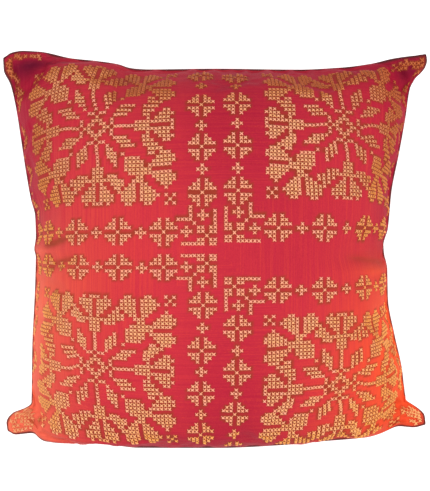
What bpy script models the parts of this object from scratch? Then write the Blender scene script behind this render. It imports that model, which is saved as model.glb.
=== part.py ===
"""Square scatter cushion, filled and lying on its back.

Metres and +Z up in the finished mesh; sizes below are in millimetres. The front panel faces +Z,
+X is its right and +Y its top. The origin is on the surface that it lies on, under the middle of
its outline. The cushion is one solid: two square panels sewn edge to edge round a filling, with
drawn-in sides, a soft ear at each corner and a pressed flat patch underneath.
"""

import bmesh
import bpy
import numpy as np

MM = 0.001

# Cut and filling
PANEL_HALF = 200.0
FRONT_CROWN = 86.0
BACK_CROWN = 80.0
REST_PRESS = 8.0
REST_EASE = 6.0
CROWN_SAG = 0.05

# How full the cross-section is: 2 is an ellipse, and more is boxier
ROUND_SIDES = 2.1
ROUND_TOP = 2.1
ROUND_BOTTOM = 2.2

# How the flat panel is spent on its way from the middle to the seam
EDGE_POWER_MOST = 16.0
EDGE_POWER_SLACK = 4.0
GATHER_ACROSS = 0.08
GATHER_UP = 0.25
GATHER_BELOW = 0.07
GATHER_POWER = 3.0

# The bottom hangs a little past its seam
BELLY_DROP = 5.5
BELLY_START = 0.80
BELLY_SIDE = 0.70
BELLY_FADE = 0.20

# Ears are slacker than the rest
EAR_SLACK = 0.5
EAR_START = 0.55
EAR_LENGTH = 0.30
EAR_POWER = 10

# Mesh
CELLS = 44
EDGE_CROWDING = 0.33
SEAM_KEEP = 9.0
CREASE_SHARE = 0.7
TINY = 1e-6

# The seam's line on each side: share of the side, and distance from the middle in millimetres
LEFT_SEAM = (
    dict(along=-1.00, out=186.0),
    dict(along=-0.965, out=187.0),
    dict(along=-0.93, out=183.5),
    dict(along=-0.91, out=177.5),
    dict(along=-0.89, out=167.0),
    dict(along=-0.87, out=165.0),
    dict(along=-0.60, out=164.5),
    dict(along=-0.20, out=161.8),
    dict(along=-0.04, out=161.3),
    dict(along=0.01, out=162.8),
    dict(along=0.06, out=161.2),
    dict(along=0.20, out=161.8),
    dict(along=0.30, out=165.6),
    dict(along=0.45, out=169.8),
    dict(along=0.65, out=174.8),
    dict(along=0.80, out=179.0),
    dict(along=0.90, out=183.5),
    dict(along=0.96, out=189.0),
    dict(along=1.00, out=189.0),
)
RIGHT_SEAM = (
    dict(along=-1.00, out=187.5),
    dict(along=-0.96, out=187.0),
    dict(along=-0.91, out=179.0),
    dict(along=-0.88, out=171.0),
    dict(along=-0.70, out=167.2),
    dict(along=-0.50, out=160.4),
    dict(along=-0.30, out=154.8),
    dict(along=-0.10, out=154.0),
    dict(along=-0.04, out=151.6),
    dict(along=0.03, out=150.7),
    dict(along=0.12, out=154.5),
    dict(along=0.35, out=158.0),
    dict(along=0.55, out=164.3),
    dict(along=0.75, out=170.6),
    dict(along=0.87, out=174.0),
    dict(along=0.91, out=178.2),
    dict(along=0.95, out=186.5),
    dict(along=0.98, out=188.8),
    dict(along=1.00, out=188.0),
)
TOP_SEAM = (
    dict(along=-1.00, out=171.0),
    dict(along=-0.97, out=175.6),
    dict(along=-0.92, out=177.7),
    dict(along=-0.85, out=177.4),
    dict(along=-0.70, out=171.6),
    dict(along=-0.58, out=169.2),
    dict(along=-0.48, out=166.5),
    dict(along=-0.41, out=162.6),
    dict(along=-0.33, out=161.6),
    dict(along=0.00, out=162.2),
    dict(along=0.40, out=161.4),
    dict(along=0.62, out=163.4),
    dict(along=0.75, out=166.5),
    dict(along=0.87, out=171.5),
    dict(along=1.00, out=174.3),
)
BOTTOM_SEAM = (
    dict(along=-1.00, out=162.5),
    dict(along=-0.97, out=165.5),
    dict(along=-0.89, out=164.5),
    dict(along=-0.84, out=171.5),
    dict(along=-0.74, out=174.0),
    dict(along=-0.55, out=174.5),
    dict(along=-0.38, out=178.0),
    dict(along=0.00, out=178.2),
    dict(along=0.35, out=175.3),
    dict(along=0.50, out=172.5),
    dict(along=0.74, out=168.4),
    dict(along=0.81, out=164.2),
    dict(along=0.89, out=158.3),
    dict(along=0.95, out=159.0),
    dict(along=1.00, out=156.5),
)

# How far each ear's tip is bent up towards the front, in millimetres
EAR_RISE = (
    dict(ear="top_left", right=-1, up=1, rise=10.0),
    dict(ear="top_right", right=1, up=1, rise=8.0),
    dict(ear="bottom_left", right=-1, up=-1, rise=5.0),
    dict(ear="bottom_right", right=1, up=-1, rise=7.0),
)

# Creases on the front, from one point of the flat panel to another, in millimetres from its middle
CREASES = (
    dict(name="top_left_ear", start=(-156, 188), end=(-188, 160), width=9, depth=6),
    dict(name="top_right_ear", start=(160, 186), end=(186, 166), width=9, depth=5),
    dict(name="bottom_left_ear", start=(-176, -192), end=(-180, -164), width=8, depth=5),
    dict(name="bottom_right_ear", start=(168, -186), end=(182, -166), width=9, depth=5),
    dict(name="left_upper_pinch", start=(-190, 12), end=(-126, 2), width=6, depth=6.5),
    dict(name="left_lower_pinch", start=(-184, -6), end=(-122, -14), width=6, depth=5.0),
    dict(name="right_pinch", start=(199, -17), end=(112, -7), width=6, depth=8.0),
    dict(name="top_tuck", start=(-96, 194), end=(-76, 160), width=9, depth=4),
)

CLOTH_RED = (0.560, 0.035, 0.048, 1.0)
CLOTH_ROUGHNESS = 0.55


def smooth_step(x):
    """0 below 0, 1 above 1 and an easy slope between."""
    x = np.clip(x, 0.0, 1.0)
    return x * x * (3.0 - 2.0 * x)


def seam_line(rows, share):
    """A smooth curve through a side's rows, read at each share of the side."""
    along = np.array([row["along"] for row in rows])
    out = np.array([row["out"] for row in rows])
    step = np.diff(along)
    slope = np.diff(out) / step
    tangent = np.empty(len(rows))
    tangent[0] = slope[0]
    tangent[-1] = slope[-1]
    flat = slope[:-1] * slope[1:] <= 0.0
    mean = 2.0 * slope[:-1] * slope[1:] / np.where(flat, 1.0, slope[:-1] + slope[1:])
    tangent[1:-1] = np.where(flat, 0.0, mean)
    share = np.clip(share, -1.0, 1.0)
    i = np.clip(np.searchsorted(along, share, side="right") - 1, 0, len(step) - 1)
    t = (share - along[i]) / step[i]
    start = out[i] * (1 + 2 * t) * (1 - t) ** 2 + step[i] * tangent[i] * t * (1 - t) ** 2
    end = out[i + 1] * t * t * (3 - 2 * t) - step[i] * tangent[i + 1] * t * t * (1 - t)
    return start + end


def spend(share, reach, middle_pitch):
    """How far out a share of the panel lies, as a share of the seam's distance.

    Where the cloth is longer than the reach, it turns to meet the seam edge on.
    """
    pitch = middle_pitch / reach
    least_pitch = EDGE_POWER_MOST / (EDGE_POWER_MOST - 1.0)
    steep = np.maximum(pitch, least_pitch)
    power = np.where(pitch > 1.0, steep / (steep - 1.0), EDGE_POWER_SLACK)
    return pitch * share + (1.0 - pitch) * share**power


def plan(u, v):
    """Seen from the front: position across and up, and both as shares of the way to the seam."""
    gather = np.abs(u) ** GATHER_POWER
    across_pitch = PANEL_HALF * (1.0 - GATHER_ACROSS * np.abs(v) ** GATHER_POWER)
    up_pitch = PANEL_HALF * (1.0 - GATHER_UP * gather)
    down_pitch = PANEL_HALF * (1.0 - GATHER_BELOW - (GATHER_UP - GATHER_BELOW) * gather)
    side = np.where(u < 0, seam_line(LEFT_SEAM, v), seam_line(RIGHT_SEAM, v))
    end = np.where(v < 0, seam_line(BOTTOM_SEAM, u), seam_line(TOP_SEAM, u))
    share_x = spend(np.abs(u), side, across_pitch)
    share_y = spend(np.abs(v), end, np.where(v < 0, down_pitch, up_pitch))
    low = np.clip((-v - BELLY_START) / (1.0 - BELLY_START), 0.0, 1.0)
    drop = BELLY_DROP * np.sin(np.pi * low) ** 2
    drop *= 1.0 - smooth_step((np.abs(u) - BELLY_SIDE) / BELLY_FADE)
    x = np.sign(u) * share_x * side
    y = np.sign(v) * share_y * end - drop
    return x, y, np.clip(share_x, 0.0, 1.0), np.clip(share_y, 0.0, 1.0)


def fullness(u, v, share_x, share_y):
    """The filling's height as a share of the crown: 1 in the middle and 0 at the seam."""
    round_y = np.where(v < 0, ROUND_BOTTOM, ROUND_TOP)
    across = (1.0 - share_x**ROUND_SIDES) ** (1.0 / ROUND_SIDES)
    up = (1.0 - share_y**round_y) ** (1.0 / round_y)
    slack = EAR_SLACK * smooth_step((np.abs(u * v) - EAR_START) / EAR_LENGTH)
    return across * up * (1.0 - slack) * (1.0 - CROWN_SAG * v)


def ear_rise(u, v):
    """How far the seam's level is lifted towards the front near each ear's tip."""
    rise = np.zeros_like(u)
    for row in EAR_RISE:
        here = (u * row["right"] > 0) & (v * row["up"] > 0)
        rise += np.where(here, row["rise"] * np.abs(u * v) ** EAR_POWER, 0.0)
    return rise


def crease_depth(u, v):
    """How deep the creases press the front panel in, fading out at their ends and at the seam."""
    s = u * PANEL_HALF
    t = v * PANEL_HALF
    depth = np.zeros_like(s)
    for row in CREASES:
        ax, ay = row["start"]
        bx, by = row["end"]
        length = np.hypot(bx - ax, by - ay)
        along = ((s - ax) * (bx - ax) + (t - ay) * (by - ay)) / length**2
        off = ((t - ay) * (bx - ax) - (s - ax) * (by - ay)) / length
        fade = smooth_step(along / 0.3) * smooth_step((1.0 - along) / 0.3)
        depth += row["depth"] * fade * np.exp(-((off / row["width"]) ** 2))
    to_seam = PANEL_HALF - np.maximum(np.abs(s), np.abs(t))
    return depth * smooth_step(to_seam / SEAM_KEEP)


def press_flat(z):
    """Level zero where the underside rests, with an easy roll up to the free cloth."""
    eased = np.clip(z, 0.0, REST_EASE)
    return eased**2 / (2.0 * REST_EASE) + np.maximum(z - REST_EASE, 0.0)


def cushion_points(u, v, front):
    """Points of one panel in millimetres, for arrays of panel shares u and v from -1 to 1."""
    x, y, share_x, share_y = plan(u, v)
    full = fullness(u, v, share_x, share_y)
    seam_level = BACK_CROWN - REST_PRESS + ear_rise(u, v)
    if front:
        height = FRONT_CROWN * full
        most = np.maximum(CREASE_SHARE * height, TINY)
        z = seam_level + height - most * np.tanh(crease_depth(u, v) / most)
    else:
        z = seam_level - BACK_CROWN * full
    return np.stack([x, y, press_flat(z)], axis=-1)


def panel_shares():
    """Grid lines over a panel, closer together towards the seam."""
    even = np.linspace(-1.0, 1.0, CELLS + 1)
    return even * (1.0 + EDGE_CROWDING) - EDGE_CROWDING * even**3


def build_cushion():
    shares = panel_shares()
    u, v = np.meshgrid(shares, shares, indexing="ij")
    front = cushion_points(u, v, front=True)
    back = cushion_points(u, v, front=False)
    every = np.concatenate([front.reshape(-1, 3), back.reshape(-1, 3)])
    middle = (every.min(axis=0) + every.max(axis=0)) / 2.0
    shift = np.array([middle[0], middle[1], 0.0])

    bm = bmesh.new()
    last = CELLS
    front_verts = [
        [bm.verts.new((front[i, j] - shift) * MM) for j in range(last + 1)] for i in range(last + 1)
    ]
    back_verts = [list(row) for row in front_verts]
    for i in range(1, last):
        for j in range(1, last):
            back_verts[i][j] = bm.verts.new((back[i, j] - shift) * MM)
    for i in range(last):
        for j in range(last):
            corners = ((i, j), (i + 1, j), (i + 1, j + 1), (i, j + 1))
            bm.faces.new([front_verts[a][b] for a, b in corners])
            bm.faces.new([back_verts[a][b] for a, b in reversed(corners)])
    bmesh.ops.triangulate(bm, faces=bm.faces)

    mesh = bpy.data.meshes.new("cushion")
    bm.to_mesh(mesh)
    bm.free()
    mesh.shade_smooth()
    cushion = bpy.data.objects.new("cushion", mesh)
    bpy.context.scene.collection.objects.link(cushion)
    return cushion


def cloth_material():
    material = bpy.data.materials.new("cushion_cloth")
    material.use_nodes = True
    shader = material.node_tree.nodes["Principled BSDF"]
    shader.inputs["Base Color"].default_value = CLOTH_RED
    shader.inputs["Roughness"].default_value = CLOTH_ROUGHNESS
    shader.inputs["Metallic"].default_value = 0.0
    return material


for leftover in list(bpy.data.objects):
    bpy.data.objects.remove(leftover)

build_cushion().data.materials.append(cloth_material())
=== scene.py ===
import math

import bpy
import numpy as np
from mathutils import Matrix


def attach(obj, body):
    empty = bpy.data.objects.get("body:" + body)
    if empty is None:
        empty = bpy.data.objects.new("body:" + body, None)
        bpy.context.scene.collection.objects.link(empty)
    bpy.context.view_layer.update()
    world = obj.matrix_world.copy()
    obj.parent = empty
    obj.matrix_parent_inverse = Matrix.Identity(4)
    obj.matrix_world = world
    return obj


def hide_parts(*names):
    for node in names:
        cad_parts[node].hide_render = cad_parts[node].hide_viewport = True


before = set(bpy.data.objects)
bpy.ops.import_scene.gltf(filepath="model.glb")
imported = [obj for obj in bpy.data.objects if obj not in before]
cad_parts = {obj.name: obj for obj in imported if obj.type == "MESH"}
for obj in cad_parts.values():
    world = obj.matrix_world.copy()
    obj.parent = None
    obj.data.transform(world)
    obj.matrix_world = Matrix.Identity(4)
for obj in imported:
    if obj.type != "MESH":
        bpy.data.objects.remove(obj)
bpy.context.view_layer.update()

# Looks of the square scatter cushion: shot-silk cover, knife-edge seam and gold needlework.
# Sizes are in millimetres until a mesh is written. A place on a panel is given by its flat
# coordinates: across to the right and up, from the panel's middle.

MM = 0.001
rng = np.random.default_rng(4546)

# Cut and filling
PANEL_HALF = 200.0
FRONT_CROWN = 86.0
BACK_CROWN = 80.0
REST_PRESS = 8.0
REST_EASE = 6.0
CROWN_SAG = 0.05

# How full the cross-section is: 2 is an ellipse, and more is boxier
ROUND_SIDES = 2.1
ROUND_TOP = 2.1
ROUND_BOTTOM = 2.2

# How the flat panel is spent on its way from the middle to the seam
EDGE_POWER_MOST = 16.0
EDGE_POWER_SLACK = 4.0
GATHER_ACROSS = 0.08
GATHER_UP = 0.25
GATHER_BELOW = 0.07
GATHER_POWER = 3.0

# The bottom hangs a little past its seam
BELLY_DROP = 5.5
BELLY_START = 0.80
BELLY_SIDE = 0.70
BELLY_FADE = 0.20

# Ears are slacker than the rest
EAR_SLACK = 0.5
EAR_START = 0.55
EAR_LENGTH = 0.30
EAR_POWER = 10

# Cover meshes: the one that is relaxed as cloth, and the one that shows
RELAX_CELLS = 72
FINE_CELLS = 196
EDGE_CROWDING = 0.33
TINY = 1e-6

# Creases fade this near the seam and over this share of their length at each end, and take at
# most this share of the filling's height
SEAM_KEEP = 9.0
CREASE_FADE = 0.3
CREASE_SHARE = 0.7

# Cloth relaxing: how far it may move a point, and below what height a point is held
RELAX_FRAMES = 14
RELAX_MOST = 4.0
RELAX_HELD = 0.5
RELAX_CLOTH = dict(
    quality=6,
    mass=0.25,
    tension_stiffness=25.0,
    compression_stiffness=25.0,
    shear_stiffness=8.0,
    bending_stiffness=0.8,
    use_pressure=True,
    uniform_pressure_force=3.0,
    shrink_min=-0.025,
    vertex_group_mass="held",
)

# Small unevenness of the filling, fading out towards the seam and where the cushion rests
LUMPS = 90
LUMP_HIGH = 0.55
LUMP_SPREAD = 0.95
LUMP_REACH = (14.0, 38.0)
LUMP_FADE = 25.0
REST_FADE = 12.0

# Gathers along the seam: least and most of the step between them and of each one's sizes
PUCKER_STEP = (7.0, 19.0)
PUCKER_WIDE = (2.6, 5.5)
PUCKER_REACH = (7.0, 24.0)
PUCKER_DEEP = (0.2, 1.3)
PUCKER_LEAN = 0.25
PUCKER_START = 3.0

# Seam: the two panels turn out to meet in a thin sewn edge
SEAM_EDGE = 1.3
SEAM_INSET = 0.8
SEAM_TURN = 2.4
SEAM_THIN = 0.35


def table(columns, *rows):
    """Rows of values as dictionaries, given the names of their columns."""
    return [dict(zip(columns.split(), row)) for row in rows]


# The seam's line on each side: share of the side, and distance from the middle
LEFT_SEAM = table(
    "along out",
    (-1.00, 186.0), (-0.965, 187.0), (-0.93, 183.5), (-0.91, 177.5), (-0.89, 167.0), (-0.87, 165.0),
    (-0.60, 164.5), (-0.20, 161.8), (-0.04, 161.3), (0.01, 162.8), (0.06, 161.2), (0.20, 161.8),
    (0.30, 165.6), (0.45, 169.8), (0.65, 174.8), (0.80, 179.0), (0.90, 183.5), (0.96, 189.0),
    (1.00, 189.0),
)
RIGHT_SEAM = table(
    "along out",
    (-1.00, 187.5), (-0.96, 187.0), (-0.91, 179.0), (-0.88, 171.0), (-0.70, 167.2), (-0.50, 160.4),
    (-0.30, 154.8), (-0.10, 154.0), (-0.04, 151.6), (0.03, 150.7), (0.12, 154.5), (0.35, 158.0),
    (0.55, 164.3), (0.75, 170.6), (0.87, 174.0), (0.91, 178.2), (0.95, 186.5), (0.98, 188.8),
    (1.00, 188.0),
)
TOP_SEAM = table(
    "along out",
    (-1.00, 171.0), (-0.97, 175.6), (-0.92, 177.7), (-0.85, 177.4), (-0.70, 171.6), (-0.58, 169.2),
    (-0.48, 166.5), (-0.41, 162.6), (-0.33, 161.6), (0.00, 162.2), (0.40, 161.4), (0.62, 163.4),
    (0.75, 166.5), (0.87, 171.5), (1.00, 174.3),
)
BOTTOM_SEAM = table(
    "along out",
    (-1.00, 162.5), (-0.97, 165.5), (-0.89, 164.5), (-0.84, 171.5), (-0.74, 174.0), (-0.55, 174.5),
    (-0.38, 178.0), (0.00, 178.2), (0.35, 175.3), (0.50, 172.5), (0.74, 168.4), (0.81, 164.2),
    (0.89, 158.3), (0.95, 159.0), (1.00, 156.5),
)

# How far each ear's tip is bent up towards the front
EAR_RISE = table(
    "right up rise",
    (-1, 1, 10.0), (1, 1, 8.0), (-1, -1, 5.0), (1, -1, 7.0),
)

# Creases on the front, from one flat place to another; shade is how much painted shade their bottom
# gets
CREASES = table(
    "name start end width depth shade",
    ("top_left_ear", (-156, 188), (-188, 160), 9, 6, 0),
    ("top_right_ear", (160, 186), (186, 166), 9, 5, 0),
    ("bottom_left_ear", (-176, -192), (-180, -164), 8, 5, 0),
    ("bottom_right_ear", (168, -186), (182, -166), 9, 5, 0),
    ("left_upper_pinch", (-190, 12), (-126, 2), 6, 2.5, 0),
    ("left_lower_pinch", (-184, -6), (-122, -14), 6, 2.0, 0),
    ("right_pinch", (199, -17), (112, -7), 6, 3.0, 0.10),
    ("right_pinch_line", (196, -15), (112, -6.5), 2.8, 2.8, 0.50),
    ("right_pinch_branch", (174, -3), (138, -4), 2.6, 1.2, 0.10),
    ("left_dent_upper", (-170, 3), (-124, 11), 3.0, 2.8, 1.10),
    ("left_dent_lower", (-162, -16), (-116, -7), 3.0, 2.4, 0.85),
    ("left_fold", (-198, -26), (-128, -40), 3.4, 2.6, 0.10),
    ("top_tuck", (-96, 194), (-76, 160), 9, 4, 0),
    ("top_left_hollow", (-199, 184), (-152, 188), 6, 5, 0),
    ("top_left_hollow_side", (-190, 196), (-193, 160), 5, 2, 0),
    ("top_right_hollow", (172, 192), (190, 168), 5, 5, 0),
    ("bottom_left_lip", (-199, -188), (-172, -197), 4, 5, 0),
    ("bottom_left_root", (-190, -160), (-168, -190), 6, 5, 0),
    ("bottom_right_lip", (160, -192), (199, -193), 4, 4, 0),
)

# Needlework: one cross for each stitch of the charts, on an even count of the cloth
STITCH = 3.35
THREAD_WIDE = 1.02
THREAD_HIGH = 0.62
STITCH_REACH = 0.93

# How far the work keeps from the seam; past EAR_WORK stitches both ways it is on an ear
SEAM_MARGIN = 4.5
BOTTOM_MARGIN = 17.0
EAR_MARGIN = 3.0
EAR_WORK = 50.0

# Painted shadow of the needlework on the cloth: places to a stitch, how many of them a stitch
# covers each way, how many are closed between stitches, and how dark the painted shadow is in those
SHEET_FINE = 4
SHEET_REACH = 2
GAP_REACH = 2
GAP_SHARE = 0.40

# How much of the painted shadow the painted light takes away, on the cloth and on the thread
LIGHT_SPARES = 0.8

FLOWER = (
    "..X.X..",
    ".XX.XX.",
    "XXX.XXX",
    "...X...",
    "XXX.XXX",
    ".XX.XX.",
    "..X.X..",
)
PLUS = (
    ".X.",
    "XXX",
    ".X.",
)
SALTIRE = (
    "X.X",
    ".X.",
    "X.X",
)
CENTRE_QUARTER = (
    "...X......",
    "...X..X..X",
    "...X.XXX.X",
    "XXXX..X..X",
    "....X....X",
    "..X..XX.XX",
    ".XXX.XX.XX",
    "..X....X..",
    ".....XX.XX",
    ".XXXXXX.XX",
)
ROSETTE_RING = (
    "...X...",
    "..XXX..",
    ".XX.XX.",
    "XX...XX",
    ".XX.XX.",
    "..XXX..",
    "...X...",
)
# From 20 stitches out to 4, standing on the middle of the rosette
ROSETTE_SPOKE = (
    "....X.XXX.X....",
    "...XXXX.XXXX...",
    "...XXXX.XXXX...",
    ".X..XXX.XXX..X.",
    ".XX..XX.XX..XX.",
    "XXXX..X.X..XXXX",
    "XXXXXXXXXXXXXXX",
    "..XXX.XXX.XXX..",
    "......XXX......",
    "......XXX......",
    "..X....X....X..",
    "..XX...X...XX..",
    "..XXX..X..XXX..",
    "..XXX..X..XXX..",
    "...XX..X..XX...",
    "....X..X..X....",
    ".....XX.XX.....",
)
# Half of the flower in a rosette's corner, 7 to 20 stitches out each way; its other half mirrors
# it over the diagonal
CORNER_FLOWER = (
    ".XX...XX......",
    "XXXX.XXXX.....",
    "XXXX.XXXXX....",
    "XXXX.XXXX.....",
    ".XXX.XXX......",
    "..XX.XX.......",
    "...XXX........",
    "....XX........",
    "..XXXXXX......",
    ".XXXXXXX......",
    ".XXXXX........",
    ".XXXXX........",
    ".XXXX.........",
    "X.............",
)
# How many stitches out from a rosette's middle its parts begin or end
SPOKE_END = 20
CORNER_START = 7
SALTIRE_OUT = 19

# Where the work lies, in stitches from the middle of the panel; hand work, so no two quarters match
ROSETTES = table(
    "name at",
    ("rosette_top_left", (-30.2, 31.6)),
    ("rosette_top_right", (33.3, 32.8)),
    ("rosette_bottom_left", (-30.5, -32.1)),
    ("rosette_bottom_right", (32.1, -37.6)),
)
QUARTERS = table(
    "at right up",
    ((-4.6, 6.0), -1, 1), ((7.1, 6.7), 1, 1), ((-4.6, -6.0), -1, -1), ((7.1, -12.1), 1, -1),
)
# On the ears only the tips of some petals show, each stitch listed one by one
EAR_STITCHES = {
    "top_left": (
        (-58.6, 58.9), (-58.1, 58.2), (-57.4, 58.9), (-56.7, 58.8), (-56.0, 58.5), (-55.4, 58.0),
        (-58.2, 57.4), (-58.7, 58.0), (-58.4, 56.8), (-54.1, 58.4), (-52.5, 58.4), (-51.6, 58.2),
        (-50.6, 58.3), (-50.2, 57.7),
    ),
    "top_left_rim": (
        (-58.8, 56.3), (-58.4, 55.7), (-58.8, 55.0), (-58.0, 54.3), (-57.5, 53.6), (-57.0, 52.8),
        (-58.9, 53.2), (-58.3, 51.7), (-58.7, 50.8),
    ),
    "top_right": (
        (53.4, 58.9), (54.5, 58.8), (55.6, 58.9), (56.6, 58.9), (57.6, 58.9), (58.7, 58.8),
        (53.8, 57.8), (54.8, 58.0), (55.8, 58.2), (56.7, 58.1), (57.7, 58.2), (56.7, 57.3),
        (57.7, 57.2), (58.7, 57.6), (58.9, 56.8), (58.6, 56.0), (58.0, 55.4), (54.4, 56.9),
        (53.3, 56.7),
    ),
    "bottom_left": (
        (-58.8, -53.6), (-57.7, -53.4), (-56.6, -53.3), (-55.5, -53.6), (-58.8, -54.7),
        (-57.7, -54.4), (-56.7, -54.2), (-55.6, -54.5), (-54.5, -54.3), (-53.4, -54.1),
        (-58.9, -55.7), (-57.8, -55.5), (-56.8, -55.2), (-55.7, -55.5), (-54.6, -55.3),
        (-53.5, -55.1), (-52.5, -55.0), (-58.8, -56.7), (-57.7, -56.6), (-55.8, -56.5),
        (-54.7, -56.3), (-53.6, -56.2), (-52.6, -56.1), (-58.9, -57.7), (-57.9, -57.8),
        (-56.8, -57.5), (-54.8, -57.4), (-53.7, -57.3), (-52.7, -57.2), (-58.9, -58.8),
        (-57.8, -58.8), (-56.7, -58.7), (-55.7, -58.8), (-54.6, -58.6), (-53.2, -58.4),
    ),
    "bottom_right": (
        (53.8, -53.9), (55.0, -53.5), (54.4, -54.5), (56.0, -54.1), (55.2, -55.1), (53.8, -54.9),
        (57.4, -53.9), (57.0, -54.7), (56.2, -55.2), (57.9, -54.7), (57.0, -55.5), (58.3, -55.3),
        (58.7, -55.9), (57.8, -56.0), (58.4, -56.7), (55.5, -56.1), (56.4, -56.4), (57.4, -56.7),
        (58.3, -57.4), (56.1, -57.9), (57.0, -58.1), (57.5, -58.8), (58.5, -58.3), (58.8, -58.9),
    ),
}
FLOWERS = {
    "left_column": ((-3.2, 14.1), (-3.4, 25.6), (-3.6, 37.4), (-4.1, 51.0)),
    "left_column_low": ((-3.0, -14.5), (-3.4, -26.4), (-3.7, -38.2), (-4.0, -50.2)),
    "right_column": ((5.5, 14.5), (5.5, 26.0), (5.5, 38.0), (5.2, 50.4)),
    "right_column_low": ((5.3, -20.6), (5.3, -32.4), (5.0, -44.1), (4.8, -56.4)),
    "left_upper_row": ((-12.7, 4.4), (-24.2, 4.5), (-35.8, 4.6), (-48.3, 5.1), (-56.8, 5.2)),
    "left_lower_row": ((-12.7, -4.6), (-24.0, -4.7), (-35.4, -4.9), (-47.9, -5.0), (-56.4, -5.0)),
    "right_upper_row": ((15.4, 5.4), (27.6, 5.5), (41.4, 6.1), (52.8, 6.7)),
    "right_lower_row": ((15.4, -10.7), (27.5, -10.9), (40.8, -11.1), (52.8, -11.3)),
    "left_edge": ((-58.4, 13.5), (-58.6, 25.0), (-58.4, 37.0), (-58.0, 48.0)),
    "left_edge_low": ((-58.4, -14.5), (-58.6, -26.0), (-58.2, -38.0)),
    "right_edge": ((59.2, 15.0), (59.4, 27.0), (59.0, 39.0), (58.6, 50.0)),
    "right_edge_low": ((58.2, -21.5), (57.0, -32.6), (57.0, -44.2)),
}
PLUSES = {
    "left_column": ((-3.3, 19.9), (-3.5, 31.3), (-3.7, 44.6)),
    "left_column_low": ((-3.2, -20.5), (-3.5, -32.1), (-3.8, -44.2)),
    "right_column": ((5.5, 20.1), (5.5, 31.9), (5.4, 44.4)),
    "right_column_low": ((5.4, -26.6), (5.2, -38.2), (4.9, -50.2)),
    "left_upper_row": ((-18.4, 4.2), (-29.9, 4.4), (-42.0, 4.8)),
    "left_lower_row": ((-18.1, -4.8), (-29.5, -4.7), (-41.4, -4.8)),
    "right_upper_row": ((21.5, 5.4), (34.4, 5.7), (47.0, 6.3)),
    "right_lower_row": ((21.3, -10.8), (34.0, -10.9), (47.0, -11.3)),
    "left_edge": ((-58.5, 19.0), (-58.5, 31.0), (-58.5, -20.5), (-58.5, -32.0)),
    "right_edge": ((59.3, 21.0), (59.2, 33.0), (57.8, -27.2), (57.2, -38.4)),
}
# How a rosette is pulled askew: a part's place from the rosette's middle, and how far it strays
PULLS = {
    "rosette_top_left": table(
        "at by",
        ((12, 0), (-0.8, 0.0)), ((-12, 0), (0.2, 1.2)), ((0, 12), (-1.9, 1.2)),
        ((0, -12), (0.7, 0.1)), ((10, -10), (0.0, -0.6)), ((10, 10), (-0.7, 2.2)),
        ((-10, 10), (-1.0, 1.8)), ((-10, -10), (0.4, 0.9)), ((19, -19), (0.1, -0.1)),
    ),
    "rosette_top_right": table(
        "at by",
        ((12, 0), (0.4, 2.2)), ((-12, 0), (-0.4, -0.8)), ((0, 12), (-0.6, 0.9)),
        ((0, -12), (0.9, 0.9)), ((-10, -10), (-0.7, -0.2)), ((-10, 10), (0.0, 0.2)),
        ((10, 10), (0.4, 1.9)), ((10, -10), (2.2, 1.4)), ((-19, -19), (-0.4, 0.3)),
        ((19, 19), (-0.6, 5.6)), ((15, 14), (0.4, 1.9)), ((12, 17), (0.4, 1.9)),
        ((17, 11), (0.6, 1.7)),
    ),
    "rosette_bottom_left": table(
        "at by",
        ((12, 0), (-0.3, 0.0)), ((-12, 0), (0.2, -2.0)), ((0, 12), (0.1, -0.8)),
        ((0, -12), (0.1, -0.7)), ((10, -10), (-0.3, -0.8)), ((10, 10), (0.7, -0.3)),
        ((-10, 10), (0.9, -0.1)), ((-10, -10), (-0.9, -2.0)),
    ),
    "rosette_bottom_right": table(
        "at by",
        ((12, 0), (0.4, -1.7)), ((-12, 0), (0.6, 0.0)), ((0, 12), (0.2, -0.4)),
        ((0, -12), (0.9, 1.5)), ((0, -17), (0.9, 1.6)), ((10, -10), (0.1, -1.2)),
        ((10, 10), (2.0, -1.7)), ((-10, 10), (0.3, 0.7)), ((-10, -10), (-0.3, 0.4)),
        ((-19, 19), (0.2, 0.0)),
    ),
}
PULL_REACH = 4.0
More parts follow.
